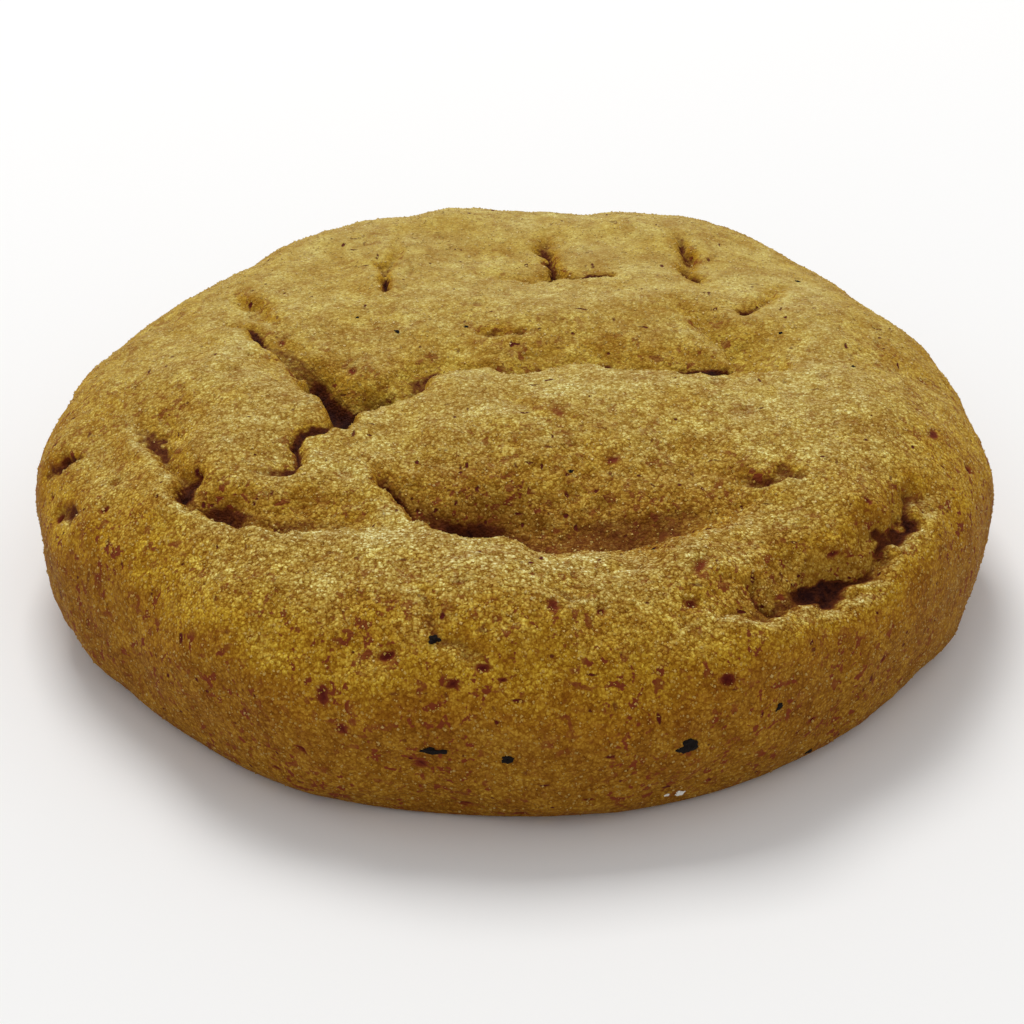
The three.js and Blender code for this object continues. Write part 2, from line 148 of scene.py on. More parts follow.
# Creases of the top. The dough stands steep and crisp on one side of a path, its left (+1) or its right
# (-1), and falls gently to it on the other. Each crease is that side, how far the steep slope reaches,
# how full the gentle slope stays before it drops, how far the steep side rolls up into a lip, and the
# path: x, y, depth, reach of the gentle slope, and how high up the foot is painted dark, as painted shade
# over dough a little darker there.
CREASES = {
    "valley": (-1, 0.5, 1.8, 0.4, (
        (-29, 9.5, 0, 1.5, 0), (-26, 5.2, 1.3, 1.5, 0.5), (-24.2, 2.4, 0.9, 1.8, 0.2),
        (-22.6, 1.6, 1.0, 2, 0.2), (-20.9, 0, 1.4, 2.2, 0.2), (-19.8, -2.3, 2.4, 2.4, 0.3),
        (-18.9, -5, 3.8, 3.2, 0.5), (-17.9, -8, 4.8, 4.0, 1.2), (-17, -10.2, 5.2, 4.0, 2.4),
        (-16.3, -13, 3.6, 2.4, 3), (-15.2, -10.3, 4.8, 4.0, 2.2), (-14.3, -8.6, 3.8, 4.0, 0.8),
        (-12.3, -7, 2.8, 4.0, 0.2), (-11, -7.4, 2.2, 4, 0.1), (-9.2, -5.6, 2.2, 4, 0.1),
        (-7.8, -3.2, 2.8, 3.8, 0.3), (-5.5, -2.3, 2.8, 3.6, 0.3), (-2.5, -2.4, 2.8, 3.4, 0.3),
        (0.3, -3, 2.4, 3.2, 0), (2.5, -1.9, 2.4, 3.2, 0.1), (5, -1.5, 2.6, 3.2, 0.5),
        (7.4, -1.8, 2.8, 3.2, 0.5), (9.5, -2.6, 2.8, 3.4, 0.1), (12.2, -3.1, 3.6, 3.6, 0.8),
        (15.5, -3.2, 4.0, 3.8, 0.9), (18.2, -3, 3.6, 3.6, 0.6), (20.4, -3, 2.6, 3.4, 0.1),
        (22, -2.4, 1.2, 3, 0), (25, 0, 0, 2, 0))),
    "crack below the valley": (1, 0.35, 2.0, 0.1, (
        (-16.6, -13.6, 0.8, 0.7, 0.5), (-17.4, -15, 0.9, 0.7, 0.5), (-18.7, -15.6, 0.9, 0.8, 0.5),
        (-19.3, -17.3, 0.9, 0.8, 0.5), (-19.7, -19.4, 0.9, 0.8, 0.5), (-20.1, -20.8, 0.8, 0.8, 0.5),
        (-21.8, -21.2, 0.3, 0.7, 0.5), (-22.4, -21.2, 0, 0.4, 0.4))),
    "left front": (-1, 0.45, 2.0, 0.3, (
        (-36, -7.5, 0, 2, 0), (-34, -10.5, 0.7, 1.6, 0.2), (-32.3, -13.5, 1.1, 1.8, 0.35),
        (-31, -17, 1.2, 1.8, 0.1), (-30.3, -19.3, 1.3, 1.8, 0.1), (-29, -21, 2.0, 1.8, 0.5),
        (-27.9, -23, 1.5, 2.2, 0.1), (-26.6, -24.8, 2.0, 2.8, 0.4), (-25, -26, 2.1, 3.0, 0.3),
        (-23.4, -27, 1.6, 3.2, 0.1), (-21.3, -28, 1.6, 3.2, 0.1), (-19.5, -28, 1.6, 3.2, 0.2),
        (-17.3, -27.2, 1.2, 3.2, 0.1), (-14.5, -27.6, 0.8, 3.2, 0), (-11.5, -27.4, 0, 2, 0))),
    "front left": (-1, 0.5, 2.4, 0.3, (
        (-12.4, -19.4, 0, 3, 0), (-11, -22.6, 1.6, 4.4, 0), (-9.8, -24.6, 3.0, 5.6, 0.1),
        (-8.2, -26.3, 4.4, 6.4, 0.5), (-6.4, -27.4, 5.0, 7, 0.5), (-4.6, -28.2, 5.4, 7.6, 0.5),
        (-3, -28.8, 5.2, 7.8, 0.4), (-1.2, -28.8, 4.4, 7.8, 0.1), (1, -29, 3.0, 7.6, 0.1),
        (2.6, -29.4, 1.4, 7, 0.2), (4.4, -29.4, 0, 6, 0))),
    "front left tear": (-1, 0.3, 2.0, 0.1, (
        (-12, -20.2, 0, 0.4, 1), (-11.3, -21.8, 0.9, 0.4, 1), (-10.6, -23.4, 1.1, 0.4, 1),
        (-9.8, -24.6, 0.6, 0.4, 1), (-9.4, -25.2, 0, 0.3, 1))),
    "front right": (-1, 3.6, 2.0, 0, (
        (-1.2, -28.8, 0, 7, 0), (1, -28.8, 1.4, 7, 0), (3, -28.4, 2.2, 6.6, 0.1),
        (5.4, -27.6, 2.6, 6, 0.1), (7.4, -26.8, 2.8, 5.6, 0.2), (9.2, -26.6, 2.8, 5.6, 0.2),
        (11, -26.6, 2.8, 5.8, 0.1), (13, -26.2, 2.7, 6, 0.2), (15, -25.4, 2.4, 5.6, 0.1),
        (17, -24.2, 2.0, 5, 0), (19.4, -23, 1.2, 4.4, 0), (21.5, -22, 0, 3, 0))),
    "right split": (-1, 0.35, 2.0, 0.2, (
        (16.8, -19, 0, 3, 0), (19, -20.4, 0.6, 1.2, 0.2), (20.4, -21, 0.8, 1.0, 0.3),
        (21.7, -21.2, 1.0, 0.7, 0.3), (22.6, -20.4, 0.7, 0.5, 0.2), (23.6, -20.2, 0.7, 0.5, 0.4),
        (24.8, -20.6, 0, 0.4, 0.3))),
    "right front": (-1, 0.5, 2.2, 0.3, (
        (15.4, -38.4, 0, 2, 0), (17, -37.4, 1.0, 2.8, 0.1), (18.6, -36.8, 1.4, 3.2, 0.1),
        (20.2, -36.2, 1.8, 3.4, 0.2), (21.8, -35.4, 2.1, 3.6, 0.3), (23.2, -34.4, 2.3, 3.8, 0.2),
        (24.6, -33.1, 2.6, 4.0, 0.5), (26.4, -31.8, 2.5, 4.0, 0.5), (28.2, -30.6, 2.5, 3.8, 0.5),
        (29.6, -28.8, 2.1, 2.8, 0.3), (30.4, -27, 1.8, 2.2, 0.2), (31.2, -25.8, 1.7, 1.8, 0.4),
        (32.6, -24.8, 1.4, 1.6, 0.3), (33.6, -23, 1.6, 1.5, 0.6), (33.4, -21.2, 1.3, 1.5, 0.3),
        (34.6, -19.6, 1.0, 1.5, 0.2), (36.8, -18.4, 0, 1, 0))),
    "right front arm": (-1, 0.4, 2.0, 0.1, (
        (18.6, -33.2, 0, 0.9, 0.3), (19.3, -34, 0.8, 0.9, 0.3), (20.2, -34.8, 0.7, 0.9, 0.3),
        (21.2, -35.2, 0.7, 0.8, 0.3), (22, -35.4, 0, 0.6, 0.3))),
    "rear right": (-1, 0.9, 1.3, 0.2, (
        (13.5, 13, 0, 2, 0), (16, 9, 1.2, 2.8, 0), (19.2, 5, 1.8, 3.4, 0), (21, 1, 2.0, 3.4, 0),
        (21.6, -2, 0.8, 2, 0))),
    "rear split": (1, 0.5, 1.5, 0.1, (
        (3, 32, 0, 0.7, 0), (2.6, 26, 0.9, 0.7, 0.3), (3, 23.5, 1.4, 0.7, 0.4),
        (3.8, 21.5, 1.5, 0.7, 0.4), (4, 20, 2.4, 0.8, 0.8), (3.4, 18.6, 0, 0.7, 0.4))),
    "rear cross": (-1, 0.6, 1.3, 0.2, (
        (-6, 17.5, 0, 1.4, 0), (-1, 18.6, 0.7, 1.4, 0), (4, 18.3, 1.0, 1.4, 0.2), (6, 18, 0.8, 1, 0.2),
        (7.4, 18.5, 1.3, 0.8, 0.5), (9, 18.6, 0, 0.8, 0))),
    "rear right split": (1, 0.5, 1.3, 0.1, (
        (17, 31, 0, 0.9, 0), (17.2, 26.5, 1.3, 0.9, 0.4), (17.4, 23.5, 1.0, 0.9, 0.1),
        (17.7, 21, 1.6, 0.9, 0.5), (19, 16, 0, 0.9, 0))),
    "far right": (1, 0.6, 1.3, 0.2, (
        (28, 20, 0, 1.2, 0), (25.4, 15.5, 0.9, 1.2, 0), (24, 12.5, 1.0, 1.2, 0.2),
        (22.3, 9.8, 1.4, 1, 0.4), (21.2, 11, 0, 0.8, 0))),
    "rear left split": (-1, 0.4, 1.5, 0.1, (
        (-12.2, 30, 0, 0.6, 0), (-12.6, 22, 0.7, 0.6, 0.1), (-13.6, 18, 0.9, 0.6, 0.3),
        (-13.3, 14.6, 1.6, 0.6, 0.6), (-13.3, 13, 0, 0.5, 0.4))),
    "left corner": (1, 0.6, 1.3, 0.2, (
        (-29, 15.5, 0, 1.2, 0), (-27, 13, 1.0, 1.2, 0), (-25, 12, 0.9, 1.2, 0), (-24, 9, 0.9, 1, 0),
        (-23.6, 6, 0, 1, 0))),
    "lip notch": (-1, 0.4, 1.5, 0.2, (
        (-4, 4.6, 0, 0.8, 0), (-2.6, 4.2, 0.8, 0.8, 0.3), (-0.8, 4.6, 0.6, 0.8, 0.1),
        (0.2, 4.8, 0.8, 0.8, 0.3), (1.8, 5.4, 0, 0.8, 0))),
    "notch in the middle": (1, 0.7, 1.3, 0.1, (
        (-1.4, -6.4, 0, 0.8, 0), (0, -10, 0.5, 0.9, 0), (1.6, -12.6, 0.4, 0.9, 0), (3, -14.5, 0, 0.9, 0))),
    "front scoop": (-1, 0.4, 1.6, 0.2, (
        (0.2, -35.6, 0, 0.6, 0.1), (1.8, -36.4, 0.5, 0.9, 0.3), (3, -37, 0.6, 0.9, 0.3),
        (4.6, -37.3, 0.3, 0.6, 0.2), (7, -37.4, 0, 0.5, 0))),
    "front rim groove": (-1, 0.6, 1.4, 0.1, (
        (-9.8, -35.2, 0, 0.6, 0), (-8.6, -36.8, 0.4, 0.7, 0.3), (-7.4, -38.8, 0.5, 0.7, 0.3),
        (-6.6, -40.2, 0.6, 0.8, 0.4), (-5, -41.4, 0.5, 0.7, 0.35), (-3, -41.9, 0.4, 0.6, 0.3),
        (-1, -41.6, 0, 0.5, 0))),
    "left rim dent": (-1, 0.4, 1.2, 0.1, (
        (-42.3, -9.6, 0.5, 0.5, 0.5), (-41, -10.4, 0.9, 0.5, 0.5), (-40, -10.8, 0, 0.5, 0.5))),
    "left rim split": (-1, 0.4, 1.2, 0.1, (
        (-41.5, -15, 0, 0.5, 0.5), (-40, -17, 0.8, 0.5, 0.5), (-38.4, -18.6, 0, 0.5, 0.5))),
}
CREASE_STEPS = 6        # straight pieces between two points of a path
LEAST_REACH = 0.4       # the shortest that a gentle slope can be
ROLL_OVER = 2.2         # where the lip beside a crease is highest, in reaches of the steep slope
BLEND_GAP = 0.25        # how closely the depth and the reach at a place follow the nearest part of
BLEND_POWER = 5         # the path: the weight falls with this power of the distance, past this gap

# The painted shade at the foot of a crease, over dough a little darker there. A line that falls from the
# crisp edge at FOOT_ANGLE degrees meets the gentle slope. All below the line is painted dark, and so is
# the slope above it, as high up as the path says.
FOOT_ANGLE = 31.0
FOOT_ANGLES = (12, 72)   # the least and the most of it, once the lean of the ground to the front is added
FOOT_FULL = 0.2          # the share of that height which is fully dark
WALL_DARK = (0.4, 0.05)  # how far from the path the dark begins and is full on the crisp side
LEAST_ACROSS = 0.3       # a crease that runs from front to back counts as crossing this much

# Painted shade wider than a crease's own foot, in deep hollows: x, y, half length, half width, turn in
# degrees, darkness.
SHADE_PATCHES = {
    "hole at the valley's foot": (-16.6, -6.8, 6.0, 1.9, 80, 1.3),
    "dark wall above the hole": (-17.9, -3.4, 3.8, 1.3, 112, 1.0),
    "brown beside the hole": (-14.6, -4.0, 3.2, 2.2, 0, 0.42),
    "brown on the corner": (-6.5, -1.5, 1.4, 0.8, 0, 0.3),
    "shade in the valley": (13.5, -0.6, 3.6, 0.7, 0, 0.35),
    "shade at the mound's foot": (10, -25.2, 8.0, 1.5, 6, 0.24),
}
SHADE_PATCH_STRENGTH = 1.6
SHADE_PATCH_DEPTHS = (0.6, 2.0)  # they show only in the creases, from the first of these depths to the second

# How steep the smooth form may lean (its normal's z) where the top's relief fades in, and where the
# swelling of the sides fades out towards the base.
TOP_FADE = (0.15, 0.6)
BASE_FADE = (-0.95, -0.3)

# Unevenness of the dough, each the height and the wavelength of its waves: the dough itself, then how
# far the creases stray from their paths and how ragged their edges are.
SWELL = (0.32, 17.0)
LUMPINESS = (0.14, 7.0)
CREASE_STRAY = (0.45, 6.0)
RAGGED = (0.20, 1.9)
RAGGED_WAVES = 24
GOLDEN_ANGLE = 2.399963
WAVES = 9

# Crumb of the crust, each the width and the height of its crumbs, and how much higher it stands in
# creases of this depth or more.
CRUMBS = ((1.9, 0.16), (1.05, 0.12))
CRUMBLED = 0.8
CRUMBLED_DEPTH = 1.2


def smoothstep(x, low, high):
    """How far x is from low to high, 0 to 1, eased at both ends."""
    t = np.clip((x - low) / (high - low), 0.0, 1.0)
    return t * t * (3 - 2 * t)


def unevenness(p, wavelength, seed, waves=WAVES):
    """An even mixture of plane waves in all directions, so it repeats nowhere over the cookie."""
    total = np.zeros(len(p))
    for i in range(waves):
        up = 1 - 2 * (i + 0.5) / waves
        across = math.sqrt(1 - up * up)
        turn = i * GOLDEN_ANGLE + seed
        own = wavelength * (0.7 + 0.6 * ((i * 4) % waves) / waves)
        way = np.array((across * math.cos(turn), across * math.sin(turn), up)) * (2 * math.pi / own)
        total += np.sin(p @ way + seed * (i + 1))
    return total / math.sqrt(waves)


def cells(p, size, seed):
    """How near each point is to the middle of its cell, 0 to about 1, in a space full of uneven cells."""
    q = p / size
    base = np.floor(q).astype(np.int64)
    nearest = np.full(len(p), 9.0)
    for step in np.ndindex(3, 3, 3):
        cell = base + np.array(step) - 1
        # The middle lies anywhere in its cell, by a number that is always the same for that cell.
        number = (cell * np.array([73856093, 19349663, 83492791])).sum(axis=1) + seed * 2654435761
        jitter = np.stack([((number * k + (number >> 13) * (k + 2)) & 0xFFFF) / 65536.0
                           for k in (40503, 30011, 52361)], axis=1)
        nearest = np.minimum(nearest, np.linalg.norm(cell + jitter - q, axis=1))
    return nearest


def geodesic_ball(detail):
    """Unit vertices and triangles of an icosahedron with each side cut into this many."""
    golden = (1 + math.sqrt(5)) / 2
    corners = np.array([(s * a, t * b, 0.0) for s, t, a, b in
                        ((-1, 1, 1, golden), (1, 1, 1, golden), (-1, -1, 1, golden), (1, -1, 1, golden))])
    corners = np.concatenate([corners, np.roll(corners, 1, axis=1), np.roll(corners, 2, axis=1)])
    gaps = np.linalg.norm(corners[:, None] - corners[None], axis=2)
    near = np.isclose(gaps, 2)
    faces = [(a, b, c) for a in range(12) for b in range(a + 1, 12) for c in range(b + 1, 12)
             if near[a, b] and near[b, c] and near[a, c]]
    steps = np.array([(i, j) for i in range(detail + 1) for j in range(detail + 1 - i)])
    row_start = np.cumsum([0] + [detail + 1 - i for i in range(detail + 1)])
    up = np.array([(row_start[i] + j, row_start[i + 1] + j, row_start[i] + j + 1)
                   for i in range(detail) for j in range(detail - i)])
    down = np.array([(row_start[i + 1] + j, row_start[i + 1] + j + 1, row_start[i] + j + 1)
                     for i in range(detail) for j in range(detail - i - 1)])
    local = np.concatenate([up, down])
    share = steps / detail
    spots, triangles = [], []
    for number, (a, b, c) in enumerate(faces):
        if np.linalg.det(corners[[a, b, c]]) < 0:
            b, c = c, b
        to_b, to_c = corners[b] - corners[a], corners[c] - corners[a]
        points = corners[a] + to_b * share[:, :1] + to_c * share[:, 1:]
        spots.append(points / np.linalg.norm(points, axis=1)[:, None])
        triangles.append(local + number * len(steps))
    spots, triangles = np.concatenate(spots), np.concatenate(triangles)
    _, first, index = np.unique(np.round(spots, 6) + 0.0, axis=0, return_index=True, return_inverse=True)
    return spots[first], index.reshape(-1)[triangles]


def section_points():
    """The section from the middle of the top to the middle of the base: r, z, the normal's r and z, area."""
    rows = []
    inner, rise = RADIUS - SHOULDER, TOP_HEIGHT - WIDEST_HEIGHT
    foot = RADIUS - BASE_ROUNDING
    for i in range(FLAT_STEPS):
        rows.append((inner * i / FLAT_STEPS, TOP_HEIGHT, 0.0, 1.0))
    for i in range(ARC_STEPS):
        a = math.pi / 2 * i / ARC_STEPS
        rows.append((inner + SHOULDER * math.sin(a), WIDEST_HEIGHT + rise * math.cos(a),
                     math.sin(a) / SHOULDER, math.cos(a) / rise))
    for i in range(ARC_STEPS + 1):
        a = math.pi / 2 * i / ARC_STEPS
        rows.append((foot + BASE_ROUNDING * math.cos(a), WIDEST_HEIGHT * (1 - math.sin(a)),
                     math.cos(a) / BASE_ROUNDING, -math.sin(a) / WIDEST_HEIGHT))
    for i in range(1, FLAT_STEPS + 1):
        rows.append((foot * (1 - i / FLAT_STEPS), 0.0, 0.0, -1.0))
    rows = np.array(rows)
    rows[:, 2:4] /= np.linalg.norm(rows[:, 2:4], axis=1)[:, None]
    r, z = rows[:, 0], rows[:, 1]
    share = np.where((z[1:] == 0) & (z[:-1] == 0), BASE_MESH_SHARE, 1.0)
    area = np.concatenate([[0], np.cumsum(share * np.hypot(np.diff(r), np.diff(z)) * (r[1:] + r[:-1]))])
    return rows, area


def round_the_edge(rows, angle):
    """The sum of waves round the edge, at each angle."""
    return sum(height * np.cos(waves * angle - math.radians(crest)) for waves, height, crest in rows)


def crease_line(path):
    """A smooth line through the points of a path, which carries their other values along with it."""
    p = np.array(path, float)
    p = np.concatenate([[2 * p[0] - p[1]], p, [2 * p[-1] - p[-2]]])
    line = []
    for a, b, c, d in zip(p[:-3], p[1:-2], p[2:-1], p[3:]):
        bend, twist = 2 * a - 5 * b + 4 * c - d, 3 * b - a - 3 * c + d
        for t in np.arange(CREASE_STEPS) / CREASE_STEPS:
            line.append(0.5 * (2 * b + (c - a) * t + bend * t**2 + twist * t**3))
    line.append(p[-2])
    return np.array(line)


def crease_drop(crease, x, y, steepness):
    """How much one crease lowers the top at x, y, and how far each point is in the painted shade of its
    foot.

    The nearest place on the line gives the distance and the side. The depth, the reach and the height
    of the painted shade are those of the places around it, each by how near it is. Past the margin a
    crease is too shallow to count.
    """
    near_side, near, bulge, lip, path = crease
    line = crease_line(path)
    margin = 3 * line[:, 3].max() + 4
    drop, inside = np.zeros(len(x)), np.zeros(len(x))
    chosen = np.flatnonzero((x > line[:, 0].min() - margin) & (x < line[:, 0].max() + margin)
                            & (y > line[:, 1].min() - margin) & (y < line[:, 1].max() + margin))
    px, py, steepness = x[chosen], y[chosen], steepness[chosen]
    best, side, across = np.full(len(px), np.inf), np.zeros(len(px)), np.ones(len(px))
    along, weights = np.zeros((len(px), 3)), np.zeros(len(px))
    for a, b in zip(line[:-1], line[1:]):
        dx, dy = b[0] - a[0], b[1] - a[1]
        t = np.clip(((px - a[0]) * dx + (py - a[1]) * dy) / (dx * dx + dy * dy), 0, 1)
        gap = np.hypot(px - a[0] - dx * t, py - a[1] - dy * t)
        closer = gap < best
        best = np.where(closer, gap, best)
        side = np.where(closer, np.sign(dx * (py - a[1]) - dy * (px - a[0])) * near_side, side)
        weight = math.hypot(dx, dy) / (gap + BLEND_GAP) ** BLEND_POWER
        across += (abs(dx) / math.hypot(dx, dy) - across) * weight / (weights + weight)
        weights += weight
        along += (a[2:] + (b[2:] - a[2:]) * t[:, None] - along) * (weight / weights)[:, None]
    depth, baked = np.maximum(along[:, 0], 0), np.maximum(along[:, 2], 0)
    far = np.maximum(along[:, 1], LEAST_REACH)
    fall = np.where(side > 0, np.exp(-best / near), np.exp(-(best / far) ** bulge))
    roll = best / (ROLL_OVER * near)
    drop[chosen] = depth * fall - np.where(side > 0, lip * np.minimum(depth, 1) * roll * np.exp(1 - roll), 0)
    # Painted shade: dark below the line from the crisp edge, and as high above it as the path's last value
    # says.
    sunk = depth * fall - steepness * best / np.maximum(across, LEAST_ACROSS)
    foot = smoothstep(sunk, -baked - 0.01, -FOOT_FULL * baked)
    dark = np.where(side > 0, smoothstep(best, *WALL_DARK), foot)
    inside[chosen] = dark * np.minimum(2 * baked, 1) * np.minimum(depth, 1)
    return drop, inside


def lump_rise(lump, x, y):
    """How much one lump raises the top at x, y."""
    cx, cy, half_length, half_width, turn, height = lump
    a = math.radians(turn)
    u = ((x - cx) * math.cos(a) + (y - cy) * math.sin(a)) / half_length
    v = ((y - cy) * math.cos(a) - (x - cx) * math.sin(a)) / half_width
    return height * np.exp(-(u * u + v * v))


ball, dough_faces = geodesic_ball(DOUGH_DETAIL)
section, section_area = section_points()
angle = np.arctan2(ball[:, 1], ball[:, 0])
place = (1 - ball[:, 2]) / 2 * section_area[-1]
at_r, at_z, normal_r, normal_z = (np.interp(place, section_area, section[:, k]) for k in range(4))
edge = RADIUS + round_the_edge(EDGE_WAVES, angle)
form = np.stack([at_r * edge / RADIUS * np.cos(angle), at_r * edge / RADIUS * np.sin(angle), at_z], axis=1)

on_top = smoothstep(normal_z, *TOP_FADE)
off_base = smoothstep(normal_z, *BASE_FADE)
stray_x = form[:, 0] + CREASE_STRAY[0] * unevenness(form, CREASE_STRAY[1], 2.2)
stray_y = form[:, 1] + CREASE_STRAY[0] * unevenness(form, CREASE_STRAY[1], 7.7)
stray_x += RAGGED[0] * unevenness(form, RAGGED[1], 5.2, RAGGED_WAVES)
stray_y += RAGGED[0] * unevenness(form, RAGGED[1], 8.4, RAGGED_WAVES)
lumps = sum(lump_rise(lump, stray_x, stray_y) for lump in LUMPS.values())
creases, crease_shade = np.zeros(len(form)), np.zeros(len(form))
lean_to_front = np.degrees(np.arctan2(-normal_r * np.sin(angle), np.maximum(normal_z, 0.05)))
steepness = np.tan(np.radians(np.clip(FOOT_ANGLE + lean_to_front, *FOOT_ANGLES)))
for crease in CREASES.values():
    drop, inside = crease_drop(crease, stray_x, stray_y, steepness)
    creases += drop
    crease_shade = np.maximum(crease_shade, inside)
# Patches of painted shade in the deepest hollows, added to the painted shade of the creases.
shade_patches = np.zeros(len(form))
for *spot, darkness in SHADE_PATCHES.values():
    shade_patches = np.maximum(shade_patches, lump_rise((*spot, SHADE_PATCH_STRENGTH * darkness), stray_x, stray_y))
crease_shade = np.maximum(crease_shade, np.minimum(shade_patches, 1) * smoothstep(creases, *SHADE_PATCH_DEPTHS))
swell = SWELL[0] * unevenness(form, SWELL[1], 1.3) + LUMPINESS[0] * unevenness(form, LUMPINESS[1], 4.1)
out = off_base * swell + on_top * (lumps - creases)
out[at_z <= 0] = 0
outward = np.stack([normal_r * np.cos(angle), normal_r * np.sin(angle), normal_z], axis=1)
smooth_points = form + out[:, None] * outward
taller = round_the_edge(RIM_WAVES, angle) * np.exp(-((at_r - RIM_PLACE) / RIM_WIDTH) ** 2)
smooth_points[:, 2] += taller * np.maximum(normal_z, 0)


def point_normals(points, faces):
    """The outward normal at each point, by the area of the faces around it."""
    corner = points[faces]
    own = np.cross(corner[:, 1] - corner[:, 0], corner[:, 2] - corner[:, 0])
    total = np.stack([sum(np.bincount(faces[:, k], own[:, axis], len(points)) for k in range(3))
                      for axis in range(3)], axis=1)
    return total / np.linalg.norm(total, axis=1)[:, None]


smooth_normals = point_normals(smooth_points, dough_faces)

# Small pits where crumbs tore out or bubbles opened, stained red: the ones in front, each by its place,
# reach, stretch and depth, and more of them by chance, within these reaches, stretches and depths.
KNOWN_PITS = (
    ((17.0, -41.9, 13.6), 0.75, 1.1, 0.8), ((-5.6, -43.5, 14.4), 0.5, 1.6, 0.5),
    ((6.4, -38.7, 18.5), 0.4, 3.0, 0.5), ((2.5, -39.1, 19.4), 0.6, 1.8, 0.4),
    ((13.8, -36.7, 17.6), 0.5, 1.2, 0.6), ((-41.0, -16.1, 13.0), 0.6, 2.4, 0.8),
    ((-41.4, -9.4, 15.1), 0.6, 2.0, 0.8), ((-36.0, -17.2, 17.8), 0.5, 2.0, 0.6),
    ((-10.7, -41.3, 15.5), 0.5, 2.6, 0.5), ((-17.9, -42.3, 7.2), 0.5, 2.2, 0.6))
MORE_PITS = 90
PIT_REACH = (0.28, 0.62)
PIT_STRETCH = (1.0, 3.2)
PIT_DEPTH = (0.2, 0.45)
PIT_LEVELNESS = (1, 1, 0.3)
PIT_STAIN = 0.75
chance = np.random.default_rng(11)
pits = list(KNOWN_PITS)
for k in chance.choice(np.flatnonzero(at_z > 1), MORE_PITS):
    pits.append((smooth_points[k], chance.uniform(*PIT_REACH), chance.uniform(*PIT_STRETCH),
                 chance.uniform(*PIT_DEPTH)))
pitted, pit_stain = np.zeros(len(form)), np.zeros(len(form))
for centre, reach, stretch, depth in pits:
    way = chance.normal(size=3) * PIT_LEVELNESS
    centre = smooth_points[np.argmin(((smooth_points - np.array(centre)) ** 2).sum(axis=1))]
    from_centre = smooth_points - centre
    along = from_centre @ (way / np.linalg.norm(way))
    gap = (from_centre**2).sum(axis=1) - (1 - 1 / stretch**2) * along**2
    pitted = np.maximum(pitted, depth * np.exp(-gap / reach**2))
    pit_stain = np.maximum(pit_stain, np.exp(-(gap / (PIT_STAIN * reach) ** 2) ** 2))
crumb = sum(height * (0.5 - cells(form, size, k + 1)) for k, (size, height) in enumerate(CRUMBS))
crumb *= 1 + CRUMBLED * np.clip(creases / CRUMBLED_DEPTH, 0, 1) * on_top
dough_points = smooth_points + ((off_base * crumb - pitted) * (at_z > 0))[:, None] * smooth_normals
dough_points[:, 2] = np.maximum(dough_points[:, 2], 0)
middle = (dough_points[:, :2].max(axis=0) + dough_points[:, :2].min(axis=0)) / 2
dough_points[:, :2] -= middle

# The sugar lies thickest on slopes that face this way, which is also towards the lamp. Away from it the
# crust is bare and brown, and its colour goes by how far it leans from it, in hundreds of degrees: partly
# that real browning, partly painted shade on slopes turned from the lamp.
LIT_AND_SUGARED_SIDE = np.array((0.0, 0.21, 0.98))
lean_from_lit_side = np.degrees(np.arccos(np.clip(smooth_normals @ LIT_AND_SUGARED_SIDE, -1, 1))) / 100
DEEPEST = 4.0

dough_mesh = bpy.data.meshes.new("baked_dough")
dough_mesh.from_pydata((dough_points * MM).tolist(), [], dough_faces.tolist())
dough_mesh.polygons.foreach_set("use_smooth", [True] * len(dough_mesh.polygons))
dough_mesh.update()
# The crease attribute holds the painted shade at the feet of the creases.
for name, values in (("crease", crease_shade * on_top), ("lean", lean_from_lit_side),
                     ("hollow", np.clip(creases, 0, DEEPEST) / DEEPEST * on_top), ("pit", pit_stain)):
    attribute = dough_mesh.attributes.new(name, "FLOAT", "POINT")
    attribute.data.foreach_set("value", values.astype(np.float32))
dough = bpy.data.objects.new("baked_dough", dough_mesh)
bpy.context.scene.collection.objects.link(dough)


